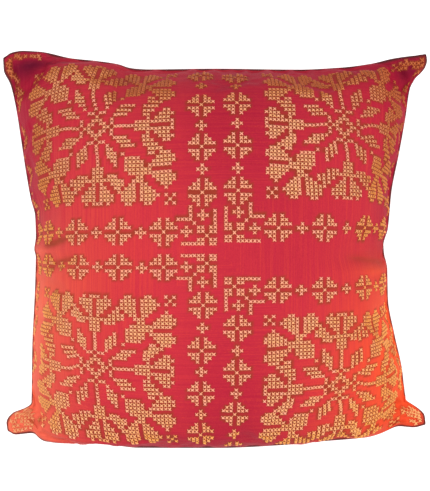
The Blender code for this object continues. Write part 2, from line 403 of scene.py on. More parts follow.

# Painted light and shade: where the cloth gets painted shade (deep), painted warm light and sheen
# (warm) or painted shade in the ears' hollows, where the thread gets painted shade (dim) or painted
# warm light (gold), and where both get painted light (light): places and reaches in flat
# millimetres
TONES = {
    "deep": table(
        "at reach amount",
        ((0, 210), (280, 80), 0.28), ((18, 100), (64, 90), 0.66), ((18, -120), (55, 80), 0.60),
        ((80, 0), (75, 60), 0.30), ((-200, 190), (70, 70), 0.6), ((200, 190), (100, 100), 0.85),
        ((205, 90), (45, 90), 0.45), ((205, 10), (45, 50), 0.9), ((-205, 95), (45, 85), 1.0),
        ((-208, 15), (28, 45), 0.5), ((188, -196), (24, 14), 0.35), ((0, -208), (150, 45), 0.75),
    ),
    "warm": table(
        "at reach amount",
        ((210, -100), (90, 80), 0.95), ((180, -205), (90, 70), 0.5), ((158, -22), (30, 6), 0.25),
        ((-110, 20), (65, 70), 0.12), ((-180, -2), (22, 6), 0.30), ((-205, -50), (85, 60), 0.6),
        ((-215, -140), (75, 90), 0.75), ((-190, -195), (50, 35), 0.45),
    ),
    "dim": table(
        "at reach amount",
        ((-200, 205), (42, 42), 0.60), ((-194, -192), (22, 16), 0.32), ((200, 205), (120, 60), 0.9),
        ((0, 215), (260, 45), 0.45), ((-190, 110), (65, 75), 0.80), ((190, 110), (65, 80), 0.80),
    ),
    "gold": table(
        "at reach amount",
        ((205, -110), (95, 110), 1.0), ((200, -200), (75, 60), 0.7), ((-205, -60), (55, 90), 0.5),
        ((0, -215), (220, 45), 0.4), ((-192, -190), (26, 20), 0.35),
    ),
    "hollow_shade": table(
        "at reach amount",
        ((-170, 189), (24, 5), 0.65), ((-182, 183), (14, 8), 0.55), ((-194, 176), (6, 12), 0.30),
        ((188, 192), (18, 12), 0.62), ((181, 182), (8, 8), 0.25), ((198, -197), (6, 6), 0.30),
    ),
    "light": table(
        "at reach amount",
        ((-192, -190), (26, 20), 1.0), ((-205, -130), (60, 70), 0.8),
        ((-100, -100), (100, 100), 0.22), ((195, -190), (26, 20), 1.0),
        ((200, -115), (70, 85), 0.25),
    ),
}

# View, set by the photograph's framing: width and height in pixels, and millimetres a pixel
PHOTO_WIDE = 430
PHOTO_HIGH = 491
MM_PER_PIXEL = 0.9
PHOTO_MIDDLE = (215.5, 249.5)
CAMERA_ABOVE_SEAM = 1080.0
SENSOR = 36.0


def smooth_step(x):
    """0 below 0, 1 above 1 and an easy slope between."""
    x = np.clip(x, 0.0, 1.0)
    return x * x * (3.0 - 2.0 * x)


def seam_line(rows, share):
    """A smooth curve through a side's rows, read at each share of the side."""
    along = np.array([row["along"] for row in rows])
    out = np.array([row["out"] for row in rows])
    step = np.diff(along)
    slope = np.diff(out) / step
    tangent = np.empty(len(rows))
    tangent[0] = slope[0]
    tangent[-1] = slope[-1]
    flat = slope[:-1] * slope[1:] <= 0.0
    mean = 2.0 * slope[:-1] * slope[1:] / np.where(flat, 1.0, slope[:-1] + slope[1:])
    tangent[1:-1] = np.where(flat, 0.0, mean)
    share = np.clip(share, -1.0, 1.0)
    i = np.clip(np.searchsorted(along, share, side="right") - 1, 0, len(step) - 1)
    t = (share - along[i]) / step[i]
    start = out[i] * (1 + 2 * t) * (1 - t) ** 2 + step[i] * tangent[i] * t * (1 - t) ** 2
    end = out[i + 1] * t * t * (3 - 2 * t) - step[i] * tangent[i + 1] * t * t * (1 - t)
    return start + end


def spend(share, reach, middle_pitch):
    """How far out a share of the panel lies, as a share of the seam's distance.

    Where the cloth is longer than the reach, it turns to meet the seam edge on.
    """
    pitch = middle_pitch / reach
    least_pitch = EDGE_POWER_MOST / (EDGE_POWER_MOST - 1.0)
    steep = np.maximum(pitch, least_pitch)
    power = np.where(pitch > 1.0, steep / (steep - 1.0), EDGE_POWER_SLACK)
    return pitch * share + (1.0 - pitch) * share**power


def plan(u, v):
    """Seen from the front: position across and up, and both as shares of the way to the seam."""
    gather = np.abs(u) ** GATHER_POWER
    across_pitch = PANEL_HALF * (1.0 - GATHER_ACROSS * np.abs(v) ** GATHER_POWER)
    up_pitch = PANEL_HALF * (1.0 - GATHER_UP * gather)
    down_pitch = PANEL_HALF * (1.0 - GATHER_BELOW - (GATHER_UP - GATHER_BELOW) * gather)
    side = np.where(u < 0, seam_line(LEFT_SEAM, v), seam_line(RIGHT_SEAM, v))
    end = np.where(v < 0, seam_line(BOTTOM_SEAM, u), seam_line(TOP_SEAM, u))
    side = side - SEAM_INSET
    end = end - SEAM_INSET
    share_x = spend(np.abs(u), side, across_pitch)
    share_y = spend(np.abs(v), end, np.where(v < 0, down_pitch, up_pitch))
    low = np.clip((-v - BELLY_START) / (1.0 - BELLY_START), 0.0, 1.0)
    drop = BELLY_DROP * np.sin(np.pi * low) ** 2
    drop *= 1.0 - smooth_step((np.abs(u) - BELLY_SIDE) / BELLY_FADE)
    x = np.sign(u) * share_x * side
    y = np.sign(v) * share_y * end - drop
    return x, y, np.clip(share_x, 0.0, 1.0), np.clip(share_y, 0.0, 1.0)


def fullness(u, v, share_x, share_y):
    """The filling's height as a share of the crown: 1 in the middle and 0 at the seam."""
    round_y = np.where(v < 0, ROUND_BOTTOM, ROUND_TOP)
    across = (1.0 - share_x**ROUND_SIDES) ** (1.0 / ROUND_SIDES)
    up = (1.0 - share_y**round_y) ** (1.0 / round_y)
    slack = EAR_SLACK * smooth_step((np.abs(u * v) - EAR_START) / EAR_LENGTH)
    return across * up * (1.0 - slack) * (1.0 - CROWN_SAG * v)


def ear_rise(u, v):
    """How far the seam's level is lifted towards the front near each ear's tip."""
    rise = np.zeros_like(u)
    for row in EAR_RISE:
        here = (u * row["right"] > 0) & (v * row["up"] > 0)
        rise += np.where(here, row["rise"] * np.abs(u * v) ** EAR_POWER, 0.0)
    return rise


def crease_sum(u, v, column):
    """A column of the creases over the panel, fading out at their ends and at the seam."""
    s = u * PANEL_HALF
    t = v * PANEL_HALF
    total = np.zeros_like(s)
    for row in CREASES:
        ax, ay = row["start"]
        bx, by = row["end"]
        length = np.hypot(bx - ax, by - ay)
        along = ((s - ax) * (bx - ax) + (t - ay) * (by - ay)) / length**2
        off = ((t - ay) * (bx - ax) - (s - ax) * (by - ay)) / length
        fade = smooth_step(along / CREASE_FADE) * smooth_step((1.0 - along) / CREASE_FADE)
        total += row[column] * fade * np.exp(-((off / row["width"]) ** 2))
    to_seam = PANEL_HALF - np.maximum(np.abs(s), np.abs(t))
    return total * smooth_step(to_seam / SEAM_KEEP)


def press_flat(z):
    """Level zero where the underside rests, with an easy roll up to the free cloth."""
    eased = np.clip(z, 0.0, REST_EASE)
    return eased**2 / (2.0 * REST_EASE) + np.maximum(z - REST_EASE, 0.0)


def cushion_points(u, v, front):
    """Points of one panel, for arrays of panel shares u and v from -1 to 1."""
    x, y, share_x, share_y = plan(u, v)
    full = fullness(u, v, share_x, share_y)
    seam_level = BACK_CROWN - REST_PRESS + ear_rise(u, v)
    if front:
        height = FRONT_CROWN * full
        most = np.maximum(CREASE_SHARE * height, TINY)
        z = seam_level + height - most * np.tanh(crease_sum(u, v, "depth") / most)
    else:
        z = seam_level - BACK_CROWN * full
    return np.stack([x, y, press_flat(z)], axis=-1)


def panel_shares(cells):
    """Grid lines over a panel, closer together towards the seam."""
    even = np.linspace(-1.0, 1.0, cells + 1)
    return even * (1.0 + EDGE_CROWDING) - EDGE_CROWDING * even**3


def both_panels(cells):
    """Front and back grids of points, with the outline's middle over the origin."""
    shares = panel_shares(cells)
    u, v = np.meshgrid(shares, shares, indexing="ij")
    front = cushion_points(u, v, front=True)
    back = cushion_points(u, v, front=False)
    every = np.concatenate([front.reshape(-1, 3), back.reshape(-1, 3)])
    middle = (every.min(axis=0) + every.max(axis=0)) / 2.0
    shift = np.array([middle[0], middle[1], 0.0])
    return front - shift, back - shift, shift


def flat_grid():
    """Flat coordinates of the fine grid's points, and how far each is from the seam."""
    lines = panel_shares(FINE_CELLS) * PANEL_HALF
    s, t = np.meshgrid(lines, lines, indexing="ij")
    return s, t, PANEL_HALF - np.maximum(np.abs(s), np.abs(t))


def placed(name, data):
    """A new object of the data, in the scene."""
    thing = bpy.data.objects.new(name, data)
    bpy.context.scene.collection.objects.link(thing)
    return thing


def note_points(mesh, name, values):
    """Writes three or four numbers for each of the mesh's points, for its material to read."""
    kinds = {3: ("FLOAT_VECTOR", "vector"), 4: ("FLOAT_COLOR", "color")}
    kind, field = kinds[values.shape[-1]]
    made = mesh.attributes.new(name, kind, "POINT")
    made.data.foreach_set(field, values.astype(np.float32).ravel())


def grid_mesh(name, front, back):
    """One closed mesh of two grids that share their rim, with both grids' vertex numbers."""
    cells = front.shape[0] - 1
    front_ids = np.arange((cells + 1) ** 2).reshape(cells + 1, cells + 1)
    back_ids = front_ids.copy()
    inner = (cells - 1) ** 2
    back_ids[1:-1, 1:-1] = np.arange(inner).reshape(cells - 1, cells - 1) + front_ids.size
    points = np.concatenate([front.reshape(-1, 3), back[1:-1, 1:-1].reshape(-1, 3)])

    def quads(ids, order):
        corners = (ids[:-1, :-1], ids[1:, :-1], ids[1:, 1:], ids[:-1, 1:])
        return np.stack([corners[k].ravel() for k in order], axis=-1)

    faces = np.concatenate([quads(front_ids, (0, 1, 2, 3)), quads(back_ids, (3, 2, 1, 0))])
    mesh = bpy.data.meshes.new(name)
    mesh.from_pydata((points * MM).tolist(), [], faces.tolist())
    mesh.shade_smooth()
    return placed(name, mesh), front_ids, back_ids


def mesh_points(mesh):
    """The mesh's points in millimetres."""
    co = np.empty(len(mesh.vertices) * 3)
    mesh.vertices.foreach_get("co", co)
    return co.reshape(-1, 3) / MM


def relax_as_cloth(front, back):
    """The cover eased by Blender's cloth under the filling's pressure, held along its seam."""
    thing, front_ids, back_ids = grid_mesh("relaxing", front, back)
    start = mesh_points(thing.data)
    rim = np.concatenate([front_ids[0], front_ids[-1], front_ids[:, 0], front_ids[:, -1]])
    flat = np.flatnonzero(start[:, 2] < RELAX_HELD)
    held = thing.vertex_groups.new(name="held")
    held.add([int(i) for i in np.union1d(rim, flat)], 1.0, "REPLACE")
    cloth = thing.modifiers.new("relax", "CLOTH")
    for setting, value in RELAX_CLOTH.items():
        setattr(cloth.settings, setting, value)
    cloth.settings.effector_weights.gravity = 0.0
    cloth.collision_settings.use_collision = False
    scene = bpy.context.scene
    cloth.point_cache.frame_start = 1
    cloth.point_cache.frame_end = RELAX_FRAMES
    for step in range(1, RELAX_FRAMES + 1):
        scene.frame_set(step)
    evaluated = thing.evaluated_get(bpy.context.evaluated_depsgraph_get())
    moved = mesh_points(evaluated.data) - start
    scene.frame_set(1)
    bpy.data.objects.remove(thing)
    far = np.linalg.norm(moved, axis=1, keepdims=True)
    moved *= RELAX_MOST * np.tanh(far / RELAX_MOST) / np.maximum(far, TINY)
    eased = start + moved
    eased[:, 2] = np.maximum(eased[:, 2], 0.0)
    return eased[front_ids], eased[back_ids]


def finer_rows(coarse_cells, fine_cells):
    """Weights that read a smooth curve through evenly numbered points at more places."""
    at = np.linspace(0.0, coarse_cells, fine_cells + 1)
    weights = np.zeros((fine_cells + 1, coarse_cells + 1))
    for row, place in enumerate(at):
        i = min(int(place), coarse_cells - 1)
        t = place - i
        spline = (
            (i - 1, -0.5 * t + t**2 - 0.5 * t**3),
            (i, 1.0 - 2.5 * t**2 + 1.5 * t**3),
            (i + 1, 0.5 * t + 2.0 * t**2 - 1.5 * t**3),
            (i + 2, -0.5 * t**2 + 0.5 * t**3),
        )
        for k, w in spline:
            if k < 0:
                weights[row, 0] += 2.0 * w
                weights[row, 1] -= w
            elif k > coarse_cells:
                weights[row, coarse_cells] += 2.0 * w
                weights[row, coarse_cells - 1] -= w
            else:
                weights[row, k] += w
    return weights


def finer(grid, weights):
    """The grid's points read at more places both ways."""
    return np.einsum("ai,ijk,bj->abk", weights, grid, weights)


def soft_lumps(s, t):
    """The filling's slight unevenness, in millimetres out of the cloth."""
    height = np.zeros_like(s)
    for _ in range(LUMPS):
        at = rng.uniform(-LUMP_SPREAD, LUMP_SPREAD, 2) * PANEL_HALF
        reach = rng.uniform(*LUMP_REACH)
        far = (s - at[0]) ** 2 + (t - at[1]) ** 2
        height += rng.normal(0.0, LUMP_HIGH) * np.exp(-far / reach**2)
    return height


def seam_puckers(s, t):
    """Small gathers that run in from the seam, in millimetres into the cloth."""
    depth = np.zeros_like(s)
    for along, across in ((s, t), (s, -t), (t, s), (t, -s)):
        to_side = PANEL_HALF - across
        at = -PANEL_HALF
        while at < PANEL_HALF:
            at += rng.uniform(*PUCKER_STEP)
            wide = rng.uniform(*PUCKER_WIDE)
            reach = rng.uniform(*PUCKER_REACH)
            deep = rng.uniform(*PUCKER_DEEP)
            lean = rng.normal(0.0, PUCKER_LEAN)
            off = along - at - lean * to_side
            fold = deep * np.exp(-((off / wide) ** 2) - to_side / reach)
            depth += fold * smooth_step(to_side / PUCKER_START)
    return depth


def worked_cloth(grid, up):
    """A panel with its lumps and gathers, flat as before where it rests."""
    s, t, to_seam = flat_grid()
    height = soft_lumps(s, t) * smooth_step(to_seam / LUMP_FADE) - seam_puckers(s, t)
    height *= smooth_step(grid[..., 2] / REST_FADE)
    return grid + up * grid_normals(grid) * height[..., None]


def seam_edge(front, back):
    """Turns the last few millimetres of both panels out, so that they meet in a thin sewn edge."""
    s, t, to_seam = flat_grid()
    near = np.clip(1.0 - to_seam / SEAM_TURN, 0.0, 1.0)
    to_sides = np.sign(s) * (np.abs(s) >= np.abs(t))
    to_ends = np.sign(t) * (np.abs(t) >= np.abs(s))
    outward = unit(np.stack([to_sides, to_ends], axis=-1))
    push = outward * (SEAM_EDGE * near)[..., None]
    level = (front[..., 2] + back[..., 2]) / 2.0
    thin = SEAM_THIN + (1.0 - SEAM_THIN) * (1.0 - near)
    sewn = []
    for panel in (front, back):
        panel = panel.copy()
        panel[..., :2] += push
        panel[..., 2] = np.where(near > 0, level + (panel[..., 2] - level) * thin, panel[..., 2])
        sewn.append(panel)
    return sewn


def unit(vectors):
    """The vectors at a length of 1."""
    return vectors / np.maximum(np.linalg.norm(vectors, axis=-1, keepdims=True), TINY)


def grid_normals(grid):
    """Unit normals of a grid of points, facing up for a front panel."""
    return unit(np.cross(np.gradient(grid, axis=0), np.gradient(grid, axis=1)))


def chart_cells(chart):
    """The stitches of a chart, as whole or half stitches from its middle."""
    high = len(chart)
    wide = len(chart[0])
    return [
        (i - (wide - 1) / 2.0, (high - 1) / 2.0 - j)
        for j, line in enumerate(chart)
        for i, mark in enumerate(line)
        if mark == "X"
    ]


def turned(cells, quarter_turns):
    """The cells turned about their middle."""
    for _ in range(quarter_turns):
        cells = [(-y, x) for x, y in cells]
    return cells


def rosette_cells():
    """A whole rosette: ring, four spokes, and a flower and a saltire in each corner."""
    spoke_mid = SPOKE_END - (len(ROSETTE_SPOKE) - 1) / 2.0
    spoke = [(x, y + spoke_mid) for x, y in chart_cells(ROSETTE_SPOKE)]
    flower_mid = CORNER_START + (len(CORNER_FLOWER) - 1) / 2.0
    half = [(x + flower_mid, y + flower_mid) for x, y in chart_cells(CORNER_FLOWER)]
    corner = half + [(y, x) for x, y in half]
    corner += [(x + SALTIRE_OUT, y + SALTIRE_OUT) for x, y in chart_cells(SALTIRE)]
    found = set(chart_cells(ROSETTE_RING))
    for quarter_turns in range(4):
        found.update(turned(spoke + corner, quarter_turns))
    return sorted(found)


def moved_cells(cells, place):
    """The cells with their middle at the place."""
    return [(x + place[0], y + place[1]) for x, y in cells]


def askew(cells, name):
    """A rosette's cells as its cloth is pulled, eased between the pulled places."""
    at = np.array([(0.0, 0.0)] + [row["at"] for row in PULLS[name]])
    by = np.array([(0.0, 0.0)] + [row["by"] for row in PULLS[name]])
    cells = np.array(cells)
    far = np.sum((cells[:, None, :] - at[None, :, :]) ** 2, axis=-1)
    weight = 1.0 / (far + PULL_REACH) ** 2
    strayed = cells + (weight @ by) / weight.sum(axis=1, keepdims=True)
    return [tuple(cell) for cell in strayed]


def band_cells():
    """The centre's quarters, the ears' stitches, and lines of small flowers and pluses."""
    cells = []
    for row in QUARTERS:
        quarter = [(-x * row["right"], y * row["up"]) for x, y in chart_cells(CENTRE_QUARTER)]
        cells += moved_cells(quarter, row["at"])
    for places in EAR_STITCHES.values():
        cells += places
    for chart, lines in ((FLOWER, FLOWERS), (PLUS, PLUSES)):
        for places in lines.values():
            for place in places:
                cells += moved_cells(chart_cells(chart), place)
    return cells


def stitched_places():
    """Every piece of needlework by name, with its cells in stitches from the panel's middle."""
    rosette = rosette_cells()
    pieces = {}
    for row in ROSETTES:
        pieces[row["name"]] = moved_cells(askew(rosette, row["name"]), row["at"])
    bands = band_cells()
    pieces["bands_first"] = bands[: len(bands) // 2]
    pieces["bands_second"] = bands[len(bands) // 2 :]
    return {name: [cell for cell in cells if on_panel(*cell)] for name, cells in pieces.items()}


def on_panel(x, y):
    """Whether a stitch keeps clear of the seam; on the ears the work runs closer to it."""
    if abs(x) > EAR_WORK and abs(y) > EAR_WORK:
        return max(abs(x), abs(y)) < (PANEL_HALF - EAR_MARGIN) / STITCH
    most = (PANEL_HALF - SEAM_MARGIN) / STITCH
    least = -(PANEL_HALF - BOTTOM_MARGIN) / STITCH
    return max(abs(x), abs(y)) < most and y > least


def grown(sheet, reach):
    """The sheet with each place raised to the highest one within reach."""
    for axis in (0, 1):
        sheet = np.max([np.roll(sheet, k, axis=axis) for k in range(-reach, reach + 1)], axis=0)
    return sheet


def stitched_share(s, t, pieces):
    """How much of each flat place is under needlework, from 0 to 1, for the work's painted shadow.
    """
    step = STITCH / SHEET_FINE
    size = int(2 * PANEL_HALF / step) + 1
    reach = SHEET_REACH
    sheet = np.zeros((size, size))
    for cells in pieces.values():
        for x, y in cells:
            i = int(round((x * STITCH + PANEL_HALF) / step))
            j = int(round((y * STITCH + PANEL_HALF) / step))
            sheet[max(i - reach, 0) : i + reach + 1, max(j - reach, 0) : j + reach + 1] = 1.0
    closed = -grown(-grown(sheet, GAP_REACH), GAP_REACH)
    sheet = np.maximum(sheet, GAP_SHARE * closed)
    i = np.clip(np.round((s + PANEL_HALF) / step).astype(int), 0, size - 1)
    j = np.clip(np.round((t + PANEL_HALF) / step).astype(int), 0, size - 1)
    return sheet[i, j]


def tone_share(s, t, tone):
    """How strongly one of the tones of painted light and shade shows at each flat place."""
    share = np.zeros_like(s)
    for row in TONES[tone]:
        across = (s - row["at"][0]) / row["reach"][0]
        up = (t - row["at"][1]) / row["reach"][1]
        share += row["amount"] * np.exp(-(across**2 + up**2))
    return np.clip(share, 0.0, 1.0)


class FrontCloth:
    """Reads places and normals of the finished front panel at flat coordinates."""

    def __init__(self, grid):
        self.grid = grid
        self.normals = grid_normals(grid)
        self.lines = panel_shares(FINE_CELLS) * PANEL_HALF

    def read(self, s, t):
        """Places and unit normals at the flat coordinates s across and t up."""
        numbers = np.arange(len(self.lines))
        a = np.interp(s, self.lines, numbers)
        b = np.interp(t, self.lines, numbers)
        i = np.clip(a.astype(int), 0, len(self.lines) - 2)
        j = np.clip(b.astype(int), 0, len(self.lines) - 2)
        p = (a - i)[..., None]
        q = (b - j)[..., None]

        def mixed(field):
            low = field[i, j] * (1 - p) + field[i + 1, j] * p
            high = field[i, j + 1] * (1 - p) + field[i + 1, j + 1] * p
            return low * (1 - q) + high * q

        return mixed(self.grid), unit(mixed(self.normals))


# A thread seen along its length, from one dive into the cloth to the other
THREAD_STATIONS = table(
    "along high wide",
    (-1.00, -0.40, 0.55),
    (-0.72, 0.18, 0.88),
    (0.00, 0.42, 1.15),
    (0.72, 0.18, 0.88),
    (1.00, -0.40, 0.55),
)
THREAD_SIDES = 5

# How much the upper thread of a cross is lifted over the lower one, most in its middle
OVER_THREAD = 0.42
OVER_POWER = 0.7

# How unevenly hand work sets each cross, and each thread's turn, length and thickness
CROSS_STRAY = 0.10
TURN_STRAY = 0.05
LENGTH_STRAY = 0.035
THICK_STRAY = 0.07

# A cross in full work has eight others within this many stitches
CROWD_REACH = 1.7
FULL_CROWD = 8.0


def crowding(cells):
    """How closely each stitch is set about by others, from 0 for a lone one to 1."""
    far = np.sum((cells[:, None, :] - cells[None, :, :]) ** 2, axis=-1)
    return np.clip((np.sum(far < CROWD_REACH**2, axis=1) - 1) / FULL_CROWD, 0.0, 1.0)


def needlework(name, cells, cloth):
    """One mesh of crossed threads, a cross on each cell, following the cloth."""
    count = len(cells)
    centre = np.array(cells) * STITCH + rng.normal(0.0, CROSS_STRAY, (count, 2))
    # Painted shade (dim), painted warm light (gold) and painted light (light) on the thread, by
    # place
    dim, gold, light = (
        tone_share(centre[:, 0], centre[:, 1], tone) for tone in ("dim", "gold", "light")
    )
    crowd = np.stack([crowding(np.array(cells)), gold, light], axis=-1)
    points, strand, lie = [], [], []
    turns = np.arange(THREAD_SIDES) / THREAD_SIDES * math.tau + math.pi / 2
    for over, slope in ((False, 1.0), (True, -1.0)):
        angle = math.atan2(slope, 1.0) + rng.normal(0.0, TURN_STRAY, count)
        run = np.stack([np.cos(angle), np.sin(angle)], axis=-1)
        side = np.stack([-run[:, 1], run[:, 0]], axis=-1)
        longer = 1.0 + rng.normal(0.0, LENGTH_STRAY, count)
        reach = STITCH * math.sqrt(0.5) * STITCH_REACH * longer
        thick = 1.0 + rng.normal(0.0, THICK_STRAY, count)
        tint = rng.uniform(0.0, 1.0, count)
        for station in THREAD_STATIONS:
            lift = station["high"]
            if over:
                lift += OVER_THREAD * (1.0 - abs(station["along"])) ** OVER_POWER
            for turn in turns:
                off = math.cos(turn) * THREAD_WIDE / 2 * station["wide"] * thick
                high = lift + math.sin(turn) * THREAD_HIGH / 2 * station["wide"] * thick
                flat = centre + run * (station["along"] * reach)[:, None] + side * off[:, None]
                place, normal = cloth.read(flat[:, 0], flat[:, 1])
                points.append(place + normal * high[:, None])
                around = np.full(count, turn / math.tau)
                strand.append(np.stack([station["along"] * reach, around, tint], axis=-1))
                end = np.full(count, abs(station["along"]))
                lie.append(np.stack([normal[:, 1], normal[:, 2], end, dim], axis=-1))
    points = np.stack(points, axis=1).reshape(-1, 3)
    strand = np.stack(strand, axis=1)
    lie = np.stack(lie, axis=1)

    rings = len(THREAD_STATIONS)
    sides = THREAD_SIDES
    outline = []
    for first in range(0, (rings - 1) * sides, sides):
        for k in range(sides):
            beside = (k + 1) % sides
            outline.append((first + k, first + beside, first + sides + beside, first + sides + k))
    outline.append(tuple(range(sides - 1, -1, -1)))
    outline.append(tuple((rings - 1) * sides + k for k in range(sides)))
    one = rings * sides
    faces = [
        tuple(base + k for k in face) for base in range(0, 2 * count * one, one) for face in outline
    ]
    mesh = bpy.data.meshes.new(name)
    mesh.from_pydata((points * MM).tolist(), [], faces)
    mesh.shade_smooth()
    note_points(mesh, "strand", strand)
    note_points(mesh, "lie", lie)
    note_points(mesh, "crowd", np.repeat(crowd[:, None, :], 2 * one, axis=1))
    return placed(name, mesh)


class Shader:
    """Short ways to add and join a material's nodes."""

    def __init__(self, name):
        self.material = bpy.data.materials.new(name)
        self.material.use_nodes = True
        self.tree = self.material.node_tree
        self.bsdf = self.tree.nodes["Principled BSDF"]

    def node(self, kind, **values):
        made = self.tree.nodes.new(kind)
        for key, value in values.items():
            setattr(made, key, value)
        return made

    def put(self, socket, value):
        if isinstance(value, bpy.types.NodeSocket):
            self.tree.links.new(value, socket)
        else:
            socket.default_value = value

    def math(self, operation, a, b=0.0, c=0.0, clamp=False):
        made = self.node("ShaderNodeMath", operation=operation, use_clamp=clamp)
        for socket, value in zip(made.inputs, (a, b, c)):
            self.put(socket, value)
        return made.outputs[0]

    def spread(self, value, low, high, to_low=0.0, to_high=1.0):
        made = self.node("ShaderNodeMapRange", interpolation_type="SMOOTHSTEP")
        names = ("Value", "From Min", "From Max", "To Min", "To Max")
        for key, number in zip(names, (value, low, high, to_low, to_high)):
            self.put(made.inputs[key], number)
        return made.outputs[0]

    def noise(self, vector, scale, detail=2.0, rough=0.5):
        scaled = self.node("ShaderNodeVectorMath", operation="MULTIPLY")
        self.put(scaled.inputs[0], vector)
        self.put(scaled.inputs[1], scale)
        made = self.node("ShaderNodeTexNoise")
        self.put(made.inputs["Vector"], scaled.outputs[0])
        for key, value in (("Scale", 1.0), ("Detail", detail), ("Roughness", rough)):
            self.put(made.inputs[key], value)
        return made.outputs["Fac"]

    def mix(self, share, a, b):
        made = self.node("ShaderNodeMix", data_type="RGBA")
        self.put(made.inputs["Factor"], share)
        colours = [s for s in made.inputs if s.type == "RGBA"]
        self.put(colours[0], a)
        self.put(colours[1], b)
        return next(s for s in made.outputs if s.type == "RGBA")

    def attribute(self, name):
        return self.node("ShaderNodeAttribute", attribute_name=name).outputs["Vector"]

    def parts(self, vector):
        made = self.node("ShaderNodeSeparateXYZ")
        self.put(made.inputs[0], vector)
        return made.outputs

    def surface(self, values):
        for key, value in values.items():
            self.put(self.bsdf.inputs[key], value)

    def bump(self, height, strength, distance):
        made = self.node("ShaderNodeBump")
        for key, value in (("Strength", strength), ("Distance", distance), ("Height", height)):
            self.put(made.inputs[key], value)
        self.put(self.bsdf.inputs["Normal"], made.outputs[0])


CRIMSON = (0.530, 0.030, 0.048, 1.0)
# Painted shade on the cloth, and the weft's own slubs, turn it towards this deeper colour
MAGENTA = (0.355, 0.010, 0.036, 1.0)
# Painted warm light on the cloth, with its own cloudy and slubbed tone; salmon on the left, where
# it is also painted sheen
ORANGE = (0.870, 0.098, 0.022, 1.0)
SALMON = (0.835, 0.158, 0.086, 1.0)
# Painted shade in the ears' hollows
HOLLOW_SHADE = (0.100, 0.004, 0.022, 1.0)
# Painted shadow under the needlework and in the creases' bottoms
PAINTED_SHADOW = (0.255, 0.042, 0.016, 1.0)
SEAM_SHADE = (0.090, 0.020, 0.022, 1.0)

# The weave's noises: how often each repeats in a millimetre, across and up
WEFT_SLUB = (0.022, 0.85, 1.0)
WARP_SLUB = (0.85, 0.018, 1.0)
WEFT = (0.35, 2.6, 1.0)
WARP = (2.6, 0.35, 1.0)
CLOUD = (0.011, 0.011, 1.0)
SLUB_LOOK = dict(detail=3.0, rough=0.6)

# What each noise or slope is multiplied by, and what is added, to turn a tone or the roughness
CLOUD_WARM = (0.40, -0.20)
SLUB_WARM = (0.55, -0.27)
SLUB_DEEP = (1.1, -0.5)
# Painted shade taken on steep sides, a little less where they face down
SLOPE_DEEP = (-0.10, 0.35)
SLUB_ROUGH = (0.18, 0.50)

# Ranges that ease from 0 to 1, or from the third number to the fourth
STEEP = (0.90, 0.20)
FACING_DOWN = (0.45, -0.15)
LEFT_SIDE = (-40.0, -180.0)
SEAM_LINE = (0.5, 1.6, 0.9, 0.0)

# How dark the painted shadow under the needlework and in the creases can go
PAINTED_SHADOW_SHARE = 0.80
SLUB_HIGH = 1.6
WEFT_HIGH = 0.55
WARP_HIGH = 0.45
SILK_BUMP = dict(strength=0.35, distance=0.0006)
SILK_SURFACE = {
    "IOR": 1.30,
    "Specular IOR Level": 0.08,
    "Sheen Weight": 0.015,
    "Sheen Roughness": 0.40,
    "Sheen Tint": (1.0, 0.42, 0.25, 1.0),
}


def silk_material():
    """Shot silk: crimson weft over warm warp, with slubs both ways, and painted light and shade."""
    m = Shader("shot_silk")
    flat = m.attribute("cloth")
    to_seam = m.parts(flat)[2]
    weft_slub = m.noise(flat, WEFT_SLUB, **SLUB_LOOK)
    warp_slub = m.noise(flat, WARP_SLUB, **SLUB_LOOK)
    weft = m.noise(flat, WEFT, detail=1.0)
    warp = m.noise(flat, WARP, detail=1.0)
    cloud = m.noise(flat, CLOUD, detail=2.0)

    tone = m.node("ShaderNodeAttribute", attribute_name="tone")
    deep, warm, hollow_shade = m.parts(tone.outputs["Vector"])
    _, normal_up, normal_out = m.parts(m.node("ShaderNodeTexCoord").outputs["Normal"])
    slope = m.spread(normal_out, *STEEP)
    facing_down = m.spread(normal_up, *FACING_DOWN)
    # Painted warm light and sheen by place, with the cloth's own cloudy and slubbed tone
    warm = m.math("ADD", warm, m.math("MULTIPLY_ADD", cloud, *CLOUD_WARM))
    warm = m.math("ADD", warm, m.math("MULTIPLY_ADD", warp_slub, *SLUB_WARM), clamp=True)
    # Painted shade on steep sides, added to the painted shade by place and to the weft's own slubs
    on_slope = m.math("MULTIPLY", slope, m.math("MULTIPLY_ADD", facing_down, *SLOPE_DEEP))
    deep = m.math("ADD", deep, on_slope)
    deep = m.math("ADD", deep, m.math("MULTIPLY_ADD", weft_slub, *SLUB_DEEP), clamp=True)

    colour = m.mix(deep, CRIMSON, MAGENTA)
    # Towards the left the painted warm light turns salmon, where it is also painted sheen
    left = m.spread(m.parts(flat)[0], *LEFT_SIDE)
    colour = m.mix(warm, colour, m.mix(left, ORANGE, SALMON))
    # Painted shade in the ears' hollows
    colour = m.mix(hollow_shade, colour, HOLLOW_SHADE)
    # Painted shadow under the needlework and in the creases
    painted_shadow = m.math("MULTIPLY", tone.outputs["Alpha"], PAINTED_SHADOW_SHARE)
    colour = m.mix(painted_shadow, colour, PAINTED_SHADOW)
    seam = m.spread(to_seam, *SEAM_LINE)
    m.put(m.bsdf.inputs["Base Color"], m.mix(seam, colour, SEAM_SHADE))
    m.put(m.bsdf.inputs["Roughness"], m.math("MULTIPLY_ADD", weft_slub, *SLUB_ROUGH))
    m.surface(SILK_SURFACE)
    slubs = m.math("ADD", m.math("MULTIPLY", weft_slub, SLUB_HIGH), warp_slub)
    wefts = m.math("MULTIPLY", weft, WEFT_HIGH)
    threads = m.math("ADD", wefts, m.math("MULTIPLY", warp, WARP_HIGH))
    m.bump(m.math("ADD", slubs, threads), **SILK_BUMP)
    return m.material


